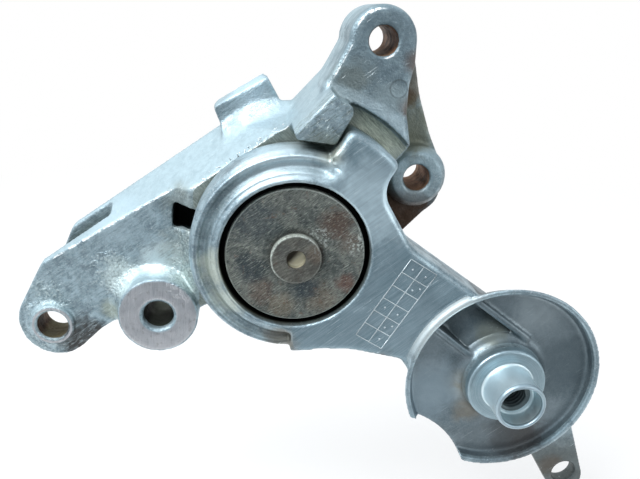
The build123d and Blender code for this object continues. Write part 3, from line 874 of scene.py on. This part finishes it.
def rivet_metal(n, cloud, grain):
    """Darker rivet top, painted highlights on the rivet's rim and the disc's edge, painted shadow
    and shade round the rivet, and a dimple painted dark at its upper left and lit at its lower
    right.
    """
    rivet, distance = n.hole(PIVOT, RIVET_RADIUS + 0.1, soft=0.1)
    on_top = n.times(rivet, n.band(*RIVET_BAND))
    n.coat((0.10, 0.085, 0.07), on_top, 0.5)
    slope = n.minus(n.x, n.z)
    # Painted highlight on the rivet's rim, strongest at the upper left
    rim = n.step(distance, (RIVET_RADIUS - 0.75) * MM, (RIVET_RADIUS - 0.2) * MM)
    rim = n.times(rim, on_top, n.scale(n.step(slope, 6 * MM, -5 * MM), 0, 1, 0.25, 1.2))
    # Painted shadow of the rivet at its lower right
    beside = n.step(distance, (RIVET_RADIUS + 2.0) * MM, (RIVET_RADIUS + 0.3) * MM)
    shade = n.times(beside, n.without(on_top), n.step(slope, 0.0, 7 * MM))
    n.coat((0.03, 0.028, 0.024), shade, 0.8)
    # Painted highlight along the disc's edge
    disc_edge = n.step(distance, (DISC_RADIUS - 0.7) * MM, (DISC_RADIUS - 0.25) * MM)
    edge = n.times(n.most(rim, disc_edge), n.scale(grain, 0.35, 0.6, 0.3, 1.0))
    n.coat((0.70, 0.76, 0.70), edge, 0.75)
    # Painted shade in the corners round the rivet and the disc
    film_and_shade = n.group("film_and_shade", Vector=n.place, Reach=0.003, Amount=0.8)["Mask"]
    n.coat((0.03, 0.025, 0.02), film_and_shade)
    # Painted shade and light in the dimple: dark at the upper left, lit at the lower right
    dimple, _ = n.hole(PIVOT, DIMPLE_RADIUS, soft=0.15)
    hollow = n.plus(slope, n.times(cloud, 2 * MM))
    lit = n.step(hollow, -0.6 * MM, 2.6 * MM)
    dimple_light = n.mix(lit, (0.045, 0.038, 0.028), (0.66, 0.62, 0.48))
    n.coat(dimple_light, n.times(dimple, n.band(*DIMPLE_BAND)))


def disc_steel(props):
    """Dark steel disc with rust, long scratches and fine tool marks, and painted light and shade
    round its rivet.
    """
    n = Surface("Worn disc steel")
    cloud = n.noise(n.place, 0.006, 5.0, 0.65, 0.8)
    grain = n.noise(n.place, 0.0008, 4.0, 0.7)
    n.colour = n.mix(n.step(cloud, 0.38, 0.62), (0.10, 0.115, 0.11), props.steel)
    n.spots(STEEL_SPOTS, size=0.003)
    _, streaks = n.lines(33, 0.4, 1.6)
    n.coat((0.035, 0.04, 0.037), n.step(streaks, 0.49, 0.36), 0.75)
    n.coat((0.38, 0.42, 0.36), n.step(streaks, 0.53, 0.66), 0.6)
    rust = n.noise(n.place, 0.0025, 5.0, 0.7, 0.6)
    n.coat(props.rust, n.step(rust, 0.58, 0.68), 0.5)
    marks = n.scratches(STEEL_MARKS)
    n.coat(props.scratch, marks)
    bare = n.most(n.patch(cloud, (7, 5, 39), 4), n.patch(cloud, (20, 3, 38), 4))
    n.coat((0.62, 0.68, 0.64), n.times(n.step(grain, 0.50, 0.60), bare), 0.7)
    rivet_metal(n, cloud, grain)
    height = n.minus(n.plus(n.times(grain, 0.6), streaks), n.times(marks, 0.4))
    roughness = n.scale(grain, 0.3, 0.7, 0.42, 0.62)
    return n.finish(roughness, 0.7, height, 0.8, 0.35 * MM)


def plain_finish(name, colour, rough, metallic):
    """Finish of a small or hidden piece: fine grain, a little variation and soft edges, lighter
    where worn and with painted highlight.
    """
    n = Surface(name)
    grain = n.noise(n.place, 0.0012, 3.0)
    cloud = n.step(n.noise(n.place, 0.007, 3.0), 0.3, 0.7)
    n.colour = n.mix(cloud, tuple(c * 0.7 for c in colour), colour)
    # Lighter edges: wear and painted highlight
    wear_and_highlight = n.group("wear_and_highlight", Vector=n.place, Radius=0.0004, Amount=0.5)["Mask"]
    n.coat(tuple(min(1.0, c * 1.8) for c in colour), wear_and_highlight)
    roughness = n.scale(grain, 0.3, 0.7, rough - 0.08, rough + 0.08)
    return n.finish(roughness, metallic, grain, 0.25, 0.2 * MM)


# Meshes. Soft places are given as x, z, height and reach, in millimetres.

BRACKET_SOFT = (
    (-10, 42, 8, 14), (9.6, 50, 26, 6), (-35, 18, 20, 8), (-62, -32, 13, 6),
)
ARM_SOFT = (
    (14, 34, 39.5, 7), (12.5, 26, 37, 8), (0, -33, 39, 4), (60, -34, 34, 9),
)
# Cross-section of the ring's groove, as radius and depth below the arm's face
GROOVE_WAVE = (
    (24.6, 0.1), (26.4, 1.3), (28.6, 3.5), (29.6, 3.4), (31.0, 2.3), (31.7, 2.3), (33.0, 4.4),
)
# Lowest height of the groove, its angles, and the angles over which its ends run out
GROOVE_FLOOR = 33.8
GROOVE_ANGLES = (50, 275)
GROOVE_START = (61, 73)
GROOVE_END = (264, 258)
# Radii over which the tooth's side falls into the groove
TOOTH_FALL = (30.2, 31.4)
# Radii round the spigot over which the pocket's floor falls from the collar
POCKET_RADII = (15.5, 26)
# Pips of the date grid, as column, row and number
GRID_PIPS = ((0, 0, 1), (0, 3, 1), (1, 0, 1), (1, 1, 2), (1, 3, 1), (1, 4, 2), (1, 5, 1))


def new_object(name, data):
    piece = bpy.data.objects.new(name, data)
    bpy.context.scene.collection.objects.link(piece)
    return piece


def shade_smooth(mesh):
    mesh.polygons.foreach_set("use_smooth", [True] * len(mesh.polygons))


def evaluated(piece):
    bpy.context.view_layer.update()
    graph = bpy.context.evaluated_depsgraph_get()
    return piece.evaluated_get(graph), graph


def settle(piece, name):
    """Turns an object with modifiers into a plain mesh object at the origin."""
    done, graph = evaluated(piece)
    mesh = bpy.data.meshes.new_from_object(done, depsgraph=graph)
    bpy.data.objects.remove(piece)
    mesh.name = name
    return new_object(name, mesh)


def smoothed(piece, name, rounds, group=""):
    smooth = piece.modifiers.new(name, "SMOOTH")
    smooth.factor = 0.5
    smooth.iterations = rounds
    smooth.vertex_group = group


def skin(node, name, cell, rounds, triangles):
    """Skin over a CAD node: same size and place, with the small radii of the real piece."""
    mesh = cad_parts[node].data.copy()
    mesh.materials.clear()
    work = bmesh.new()
    work.from_mesh(mesh)
    bmesh.ops.remove_doubles(work, verts=work.verts, dist=1e-6)
    work.to_mesh(mesh)
    work.free()
    piece = new_object(name, mesh)
    remesh = piece.modifiers.new("Skin", "REMESH")
    remesh.mode = "VOXEL"
    remesh.voxel_size = cell
    smoothed(piece, "Radii", rounds)
    count = sum(len(p.vertices) - 2 for p in evaluated(piece)[0].data.polygons)
    if count > triangles:
        thin = piece.modifiers.new("Thin", "DECIMATE")
        thin.ratio = triangles / count
    piece = settle(piece, name)
    shade_smooth(piece.data)
    return piece


def soften(piece, places, name):
    """Rounds a skin further round the places that years of use have rounded."""
    group = piece.vertex_groups.new(name="soft")
    for vertex in piece.data.vertices:
        weight = 0.0
        for x, z, height, reach in places:
            away = (vertex.co - Vector((x, -height, z)) * MM).length
            weight = max(weight, min(1.0, 2.0 - 2.0 * away / (reach * MM)))
        if weight > 0:
            group.add([vertex.index], weight, "REPLACE")
    smoothed(piece, "Worn", 14, "soft")
    piece = settle(piece, name)
    shade_smooth(piece.data)
    return piece


def blend(value, low, high):
    """Smooth step from 0 at low to 1 at high; low may be the larger."""
    part = min(1.0, max(0.0, (value - low) / (high - low)))
    return part * part * (3 - 2 * part)


def front_vertices(piece, limit=-0.25):
    return [vertex.index for vertex in piece.data.vertices if vertex.normal.y < limit]


def fill_pocket(piece):
    """Lets the floor of the pocket between the ribs rise softly to the collar."""
    near, far = POCKET_RADII
    for index in front_vertices(piece, 0.35):
        place = piece.data.vertices[index].co
        height = -place.y / MM
        x, z = place.x / MM, place.z / MM
        radius = math.hypot(x - SPIGOT[0], z - SPIGOT[1])
        across = x * RIB_NORMAL[0] + z * RIB_NORMAL[1]
        between = near < radius < far and RIBS_ACROSS[0] < across < RIBS_ACROSS[1]
        if between and 30 < height < SHIELD_FLOOR:
            ramp = SHIELD_FLOOR - (SHIELD_FLOOR - POCKET_FLOOR) * blend(radius, near, far)
            place.y = -max(height, ramp) * MM


def reshape_groove(piece):
    """Gives the ring's cast groove its soft wave and run-out, on the front surface only."""
    for index in front_vertices(piece):
        place = piece.data.vertices[index].co
        height = -place.y / MM
        radius = math.hypot(place.x, place.z) / MM
        angle = math.degrees(math.atan2(place.z, place.x)) % 360
        in_groove = GROOVE_WAVE[0][0] < radius < GROOVE_WAVE[-1][0] and height > GROOVE_FLOOR
        if not (in_groove and GROOVE_ANGLES[0] < angle < GROOVE_ANGLES[1]):
            continue
        for (r0, d0), (r1, d1) in zip(GROOVE_WAVE, GROOVE_WAVE[1:]):
            if r0 <= radius < r1:
                wave = d0 + (d1 - d0) * blend(radius, r0, r1)
        fall = ARM_FACE - height
        rest = fall if angle > 180 else blend(radius, *TOOTH_FALL) * fall
        share = blend(angle, *GROOVE_START) * blend(angle, *GROOVE_END)
        place.y = -(ARM_FACE - (wave * share + rest * (1 - share))) * MM


# Geometry node groups. Inputs are given as name=(kind, default).

PLACED = {"Place": ("Vector", None), "Turn": ("Vector", None), "Material": ("Material", None)}


def geometry_group(name, **inputs):
    """Geometry node group with the given inputs, a place, a turn and a material."""
    group = bpy.data.node_groups.new(name, "GeometryNodeTree")
    for label, (kind, default) in {"Geometry": ("Geometry", None), **inputs, **PLACED}.items():
        socket = group.interface.new_socket(
            name=label, in_out="INPUT", socket_type="NodeSocket" + kind,
        )
        if default is not None:
            socket.default_value = default
    group.interface.new_socket(
        name="Geometry", in_out="OUTPUT", socket_type="NodeSocketGeometry",
    )
    n = Nodes(group)
    return group, n, n.add("NodeGroupInput").outputs, n.add("NodeGroupOutput").inputs


def finish_geometry(n, geometry, given, out):
    """Places geometry, makes it real and gives it the group's material."""
    placed = n.make(
        "GeometryNodeTransform", Geometry=geometry, Translation=given["Place"],
        Rotation=given["Turn"],
    )
    real = n.make("GeometryNodeRealizeInstances", Geometry=placed)
    painted = n.make("GeometryNodeSetMaterial", Geometry=real, Material=given["Material"])
    join(n.tree, out["Geometry"], painted)


def round_bar(n, path, radius, sides):
    """Bar along a curve, with closed ends."""
    section = n.make(
        "GeometryNodeCurvePrimitiveCircle", "Curve", Resolution=sides, Radius=radius,
    )
    return n.make("GeometryNodeCurveToMesh", Curve=path, Profile_Curve=section, Fill_Caps=True)


def date_grid():
    """Raised grid of squares with pips, in the XY plane and centred on the origin."""
    group, n, given, out = geometry_group(
        "Date grid", Columns=("Int", 2), Rows=("Int", 6), Cell=("Float", 0.005),
        Line=("Float", 0.0003), Pip=("Float", 0.0004),
    )
    columns, rows, cell = given["Columns"], given["Rows"], given["Cell"]
    grid = n.make(
        "GeometryNodeMeshGrid", "Mesh", Size_X=n.times(columns, cell), Size_Y=n.times(rows, cell),
        Vertices_X=n.plus(columns, 1), Vertices_Y=n.plus(rows, 1),
    )
    paths = n.make("GeometryNodeMeshToCurve", Mesh=grid)
    pip = n.make("GeometryNodeMeshUVSphere", "Mesh", Segments=10, Rings=6, Radius=given["Pip"])
    flat = n.make("GeometryNodeTransform", Geometry=pip, Scale=(1, 1, 0.6))
    pips = n.make("GeometryNodeInstanceOnPoints", Points=given["Geometry"], Instance=flat)
    both = n.add("GeometryNodeJoinGeometry")
    for shape in (round_bar(n, paths, n.over(given["Line"], 2), 6), pips):
        join(group, both.inputs[0], shape)
    finish_geometry(n, both.outputs[0], given, out)
    return group


def screw_thread():
    """Ridge of a thread inside a bore, winding along Z from the origin."""
    group, n, given, out = geometry_group(
        "Screw thread", Radius=("Float", 0.004), Pitch=("Float", 0.0015),
        Turns=("Float", 8.0), Ridge=("Float", 0.0005),
    )
    path = n.make(
        "GeometryNodeCurveSpiral", Resolution=40, Rotations=given["Turns"],
        Start_Radius=given["Radius"], End_Radius=given["Radius"],
        Height=n.times(given["Turns"], given["Pitch"]),
    )
    upright = n.add("GeometryNodeSetCurveNormal", {"Curve": path}, mode="Z_UP").outputs[0]
    finish_geometry(n, round_bar(n, upright, given["Ridge"], 4), given, out)
    return group


def cast_burrs():
    """Small ragged burrs along a line, left by the die's parting."""
    group, n, given, out = geometry_group(
        "Cast burrs", Start=("Vector", None), End=("Vector", None), Count=("Int", 20),
        Size=("Float", 0.0006), Seed=("Int", 1),
    )
    line = n.make("GeometryNodeCurvePrimitiveLine", Start=given["Start"], End=given["End"])
    points = n.make("GeometryNodeCurveToPoints", Curve=line, Count=given["Count"])

    def draw(kind, low, high, offset):
        """Random value of each burr; the node has a pair of inputs for every kind."""
        index = {"FLOAT_VECTOR": 0, "FLOAT": 1}[kind]
        node = n.add("FunctionNodeRandomValue", {
            2 * index: low, 2 * index + 1: high, "Seed": n.plus(given["Seed"], offset),
        }, data_type=kind)
        return node.outputs[index]

    low, high = Vector((-0.8, -0.1, -0.6)) * MM, Vector((0.8, 0.1, 0.3)) * MM
    shift = draw("FLOAT_VECTOR", low, high, 1)
    moved = n.make("GeometryNodeSetPosition", Geometry=points, Offset=shift)
    fleck = n.make(
        "GeometryNodeMeshCone", "Mesh", Vertices=5, Radius_Top=n.times(given["Size"], 0.06),
        Radius_Bottom=n.times(given["Size"], 0.2), Depth=given["Size"],
    )
    burrs = n.make(
        "GeometryNodeInstanceOnPoints", Points=moved, Instance=fleck,
        Rotation=draw("FLOAT_VECTOR", (0, 0, 0), (6.28, 6.28, 6.28), 2),
        Scale=draw("FLOAT", 0.25, 1.4, 3),
    )
    finish_geometry(n, burrs, given, out)
    return group


def grow(name, group, points=(), **values):
    """Mesh object that a geometry node group makes, from points where it takes any."""
    mesh = bpy.data.meshes.new(name)
    mesh.from_pydata(points, [], [])
    piece = new_object(name, mesh)
    modifier = piece.modifiers.new("Shape", "NODES")
    modifier.node_group = group
    for item in group.interface.items_tree:
        if item.item_type == "SOCKET" and item.in_out == "INPUT" and item.name in values:
            modifier[item.identifier] = values[item.name]
    piece = settle(piece, name)
    if not piece.data.polygons:
        raise RuntimeError(name + " came out empty")
    return piece


def paint(piece, material):
    piece.data.materials.clear()
    piece.data.materials.append(material)


def finish_piece(piece, body, slot, material, *nodes):
    """Gives a piece its material and its body, and hides the nodes it replaces; the slot is not
    used.
    """
    paint(piece, material)
    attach(piece, body)
    if nodes:
        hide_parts(*nodes)


# Operators

class TENSIONER_OT_bracket(bpy.types.Operator):
    """Makes the bracket casting's skin and finish"""
    bl_idname = "tensioner.bracket"
    bl_label = "Bracket casting"

    def execute(self, context):
        props = context.scene.tensioner_casting
        piece = skin("bracket_casting", "bracket_work", props.voxel, 4, props.triangles)
        piece = soften(piece, BRACKET_SOFT, "bracket_skin")
        finish_piece(piece, "bracket", "cast_bracket", bracket_metal(props), "bracket_casting")
        shiny = plain_finish("Burr metal", (0.92, 0.97, 1.0), 0.4, 0.3)
        burrs = grow(
            "wall_burrs", cast_burrs(), Start=Vector((-28, -22.2, 22.0)) * MM,
            End=Vector((-3, -22.2, 38.6)) * MM, Count=22, Size=1.2 * MM, Seed=4, Material=shiny,
        )
        finish_piece(burrs, "bracket", "cast_bracket", shiny)
        return {"FINISHED"}


class TENSIONER_OT_arm(bpy.types.Operator):
    """Makes the arm casting's skin and finish"""
    bl_idname = "tensioner.arm"
    bl_label = "Arm casting"

    def execute(self, context):
        props = context.scene.tensioner_casting
        piece = skin("tensioner_arm", "arm_work", props.voxel, 4, props.triangles)
        reshape_groove(piece)
        fill_pocket(piece)
        piece = soften(piece, ARM_SOFT, "arm_skin")
        finish_piece(piece, "arm", "cast_arm", arm_metal(props), "tensioner_arm")
        metal = plain_finish("Thread metal", (0.22, 0.25, 0.25), 0.4, 0.8)
        thread = grow(
            "spigot_thread", screw_thread(), Radius=4.55 * MM, Pitch=1.5 * MM, Turns=9.0,
            Ridge=0.62 * MM, Place=Vector((SPIGOT[0], -36, SPIGOT[1])) * MM,
            Turn=(math.pi / 2, 0, 0), Material=metal,
        )
        finish_piece(thread, "arm", "cast_arm", metal)
        return {"FINISHED"}


class TENSIONER_OT_grid(bpy.types.Operator):
    """Makes the raised date grid on the arm's neck"""
    bl_idname = "tensioner.grid"
    bl_label = "Date grid"

    def execute(self, context):
        props = context.scene.tensioner_grid
        metal = plain_finish("Raised line metal", (0.62, 0.70, 0.72), 0.4, 0.7)
        points = []
        for column, row, pips in GRID_PIPS:
            middle = Vector((column + 0.5 - props.columns / 2, props.rows / 2 - row - 0.5, 0))
            reach = 0.0 if pips == 1 else 0.24
            for i in range(pips):
                turn = 0.7 + i * 2 * math.pi / pips
                aside = Vector((math.cos(turn), math.sin(turn), 0)) * reach
                points.append((middle + aside) * props.cell)
        grid = grow(
            "date_grid", date_grid(), points, Columns=props.columns, Rows=props.rows,
            Cell=props.cell, Line=props.line, Pip=0.34 * MM,
            Place=Vector((32.45, -(ARM_FACE + 0.03), -17.8)) * MM,
            Turn=(math.pi / 2, math.radians(33.7), 0), Material=metal,
        )
        finish_piece(grid, "arm", "cast_arm", metal)
        return {"FINISHED"}


class TENSIONER_OT_pivot(bpy.types.Operator):
    """Finishes the disc, the shaft and the pieces inside the drum"""
    bl_idname = "tensioner.pivot"
    bl_label = "Disc, shaft and inner pieces"

    def execute(self, context):
        props = context.scene.tensioner_steel
        steel = disc_steel(props)
        for node, name, slot in (
            ("front_end_plate", "disc_skin", "plate_steel"),
            ("pivot_shaft", "shaft_skin", "shaft_steel"),
        ):
            piece = skin(node, name, props.cell, 2, props.triangles)
            finish_piece(piece, "bracket", slot, steel, node)
        for node, colour, rough, metallic in (
            ("thrust_washer", (0.05, 0.05, 0.055), 0.5, 0.0),
            ("pivot_bushing", (0.50, 0.36, 0.18), 0.38, 0.9),
            ("torsion_spring", (0.16, 0.16, 0.17), 0.42, 0.9),
            ("damper_ring", (0.06, 0.06, 0.065), 0.55, 0.0),
            ("spring_sleeve", (0.07, 0.07, 0.075), 0.5, 0.0),
        ):
            finish = plain_finish(node + " finish", colour, rough, metallic)
            paint(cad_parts[node], finish)
        return {"FINISHED"}


class TENSIONER_OT_stage(bpy.types.Operator):
    """Makes the floor, the backdrop, the lamps and the camera"""
    bl_idname = "tensioner.stage"
    bl_label = "Stage"

    def execute(self, context):
        props = context.scene.tensioner_stage
        self.backdrop(props, cad_box[0].z - 12 * MM)
        self.world(context, props)
        self.lamp("key_lamp", Vector((-0.55, -0.30, 0.85)), props.key)
        self.lamp("fill_lamp", Vector((0.75, -0.6, 0.15)), props.fill)
        self.camera(context)
        context.scene.view_settings.view_transform = "Standard"
        return {"FINISHED"}

    def backdrop(self, props, level):
        """Pale floor behind and below the piece that curves up into a wall far behind."""
        half, front, back, radius, top, steps = 3.0, -0.15, 1.2, 0.5, 2.5, 12
        rows = [(front, level)]
        for i in range(steps + 1):
            angle = i / steps * math.pi / 2
            rise = level + radius * (1 - math.cos(angle))
            rows.append((back + radius * math.sin(angle), rise))
        rows.append((back + radius, top))
        mesh = bpy.data.meshes.new("floor")
        vertices = [(x, y, z) for y, z in rows for x in (-half, half)]
        faces = [(2 * i, 2 * i + 1, 2 * i + 3, 2 * i + 2) for i in range(len(rows) - 1)]
        mesh.from_pydata(vertices, [], faces)
        floor = new_object("floor", mesh)
        shade_smooth(mesh)
        mesh.materials.append(self.paper(props))

    def paper(self, props):
        """White to the camera, in metal and through glass, with a faint shadow."""
        n = Surface("Pale floor")
        tint = n.scale(n.noise(n.place, 0.4, 2.0), 0.3, 0.7, 0.97, 1.0)
        n.feed("Base Color", n.lay((0.9, 0.9, 0.9), props.floor, tint))
        n.feed("Roughness", 0.9)
        paths = n.add("ShaderNodeLightPath").outputs
        seen = (paths["Is Camera Ray"], paths["Is Glossy Ray"], paths["Is Transmission Ray"])
        far = n.vectors("DISTANCE", n.place, (0, 0.05, -0.12), "Value")
        share = n.times(n.most(*seen), n.scale(far, 0.1, 0.6, 0.7, 1.0))
        white = n.make("ShaderNodeEmission", Color=(1, 1, 1, 1), Strength=1.0)
        n.show("Material Output", share, n.shader.outputs[0], white)
        return n.material

    def world(self, context, props):
        """Soft studio sky: bright overhead and to the left, darker in front and below."""
        world = bpy.data.worlds.new("Studio")
        context.scene.world = world
        world.use_nodes = True
        n = Nodes(world.node_tree)
        direction = n.make("ShaderNodeTexCoord", "Generated")
        lit_from = Vector((-0.45, 0.15, 0.88)).normalized()
        height = n.vectors("DOT_PRODUCT", direction, lit_from, "Value")
        sky = world.node_tree.nodes["Background"]
        sky.inputs["Color"].default_value = (0.84, 0.93, 1.0, 1)
        strength = n.scale(height, -0.35, 0.85, props.low_sky, props.sky, "SMOOTHSTEP")
        join(n.tree, sky.inputs["Strength"], strength)
        white = n.make("ShaderNodeBackground", Color=(1, 1, 1, 1), Strength=1.0)
        seen = n.make("ShaderNodeLightPath", "Is Camera Ray")
        n.show("World Output", seen, sky.outputs[0], white)

    def lamp(self, name, place, power):
        """Square lamp that points at the bracket."""
        light = bpy.data.lights.new(name, "AREA")
        light.size = 0.6
        light.energy = power
        lamp = new_object(name, light)
        target = Vector((0, -20, -10)) * MM
        lamp.location = place
        lamp.rotation_euler = (target - place).to_track_quat("-Z", "Y").to_euler()

    def camera(self, context):
        """The photo's camera."""
        data = bpy.data.cameras.new("camera")
        data.sensor_width = SENSOR_WIDTH
        data.lens = FOCAL_PIXELS / PHOTO_WIDTH * SENSOR_WIDTH
        camera = new_object("camera", data)
        turn = Matrix((CAMERA_RIGHT, CAMERA_UP, -CAMERA_FORWARD)).transposed().to_4x4()
        camera.matrix_world = Matrix.Translation(CAMERA_PLACE) @ turn
        context.scene.camera = camera


class TENSIONER_PT_panel(bpy.types.Panel):
    """Lists the pieces of the tensioner bracket"""
    bl_idname = "TENSIONER_PT_panel"
    bl_label = "Belt tensioner bracket"
    bl_space_type = "VIEW_3D"
    bl_region_type = "UI"
    bl_category = "Tensioner"

    def draw(self, context):
        for name in GROUP_NAMES:
            settings = getattr(context.scene, name)
            box = self.layout.box()
            for key in settings.bl_rna.properties.keys():
                if key not in ("rna_type", "name"):
                    box.prop(settings, key)
        for operator in OPERATORS:
            self.layout.operator(operator.bl_idname)


GROUP_NAMES = {
    "tensioner_casting": CastingProps, "tensioner_steel": SteelProps,
    "tensioner_grid": GridProps, "tensioner_stage": StageProps,
}
OPERATORS = (
    TENSIONER_OT_bracket, TENSIONER_OT_arm, TENSIONER_OT_grid, TENSIONER_OT_pivot,
    TENSIONER_OT_stage,
)


def register():
    for group in GROUP_NAMES.values():
        bpy.utils.register_class(group)
    for name, group in GROUP_NAMES.items():
        setattr(bpy.types.Scene, name, PointerProperty(type=group))
    for operator in OPERATORS:
        bpy.utils.register_class(operator)
    bpy.utils.register_class(TENSIONER_PT_panel)


def unregister():
    bpy.utils.unregister_class(TENSIONER_PT_panel)
    for operator in reversed(OPERATORS):
        bpy.utils.unregister_class(operator)
    for name in GROUP_NAMES:
        delattr(bpy.types.Scene, name)
    for group in GROUP_NAMES.values():
        bpy.utils.unregister_class(group)


def main():
    register()
    bpy.ops.tensioner.stage()
    bpy.ops.tensioner.bracket()
    bpy.ops.tensioner.arm()
    bpy.ops.tensioner.grid()
    bpy.ops.tensioner.pivot()


if __name__ == "__main__":
    main()
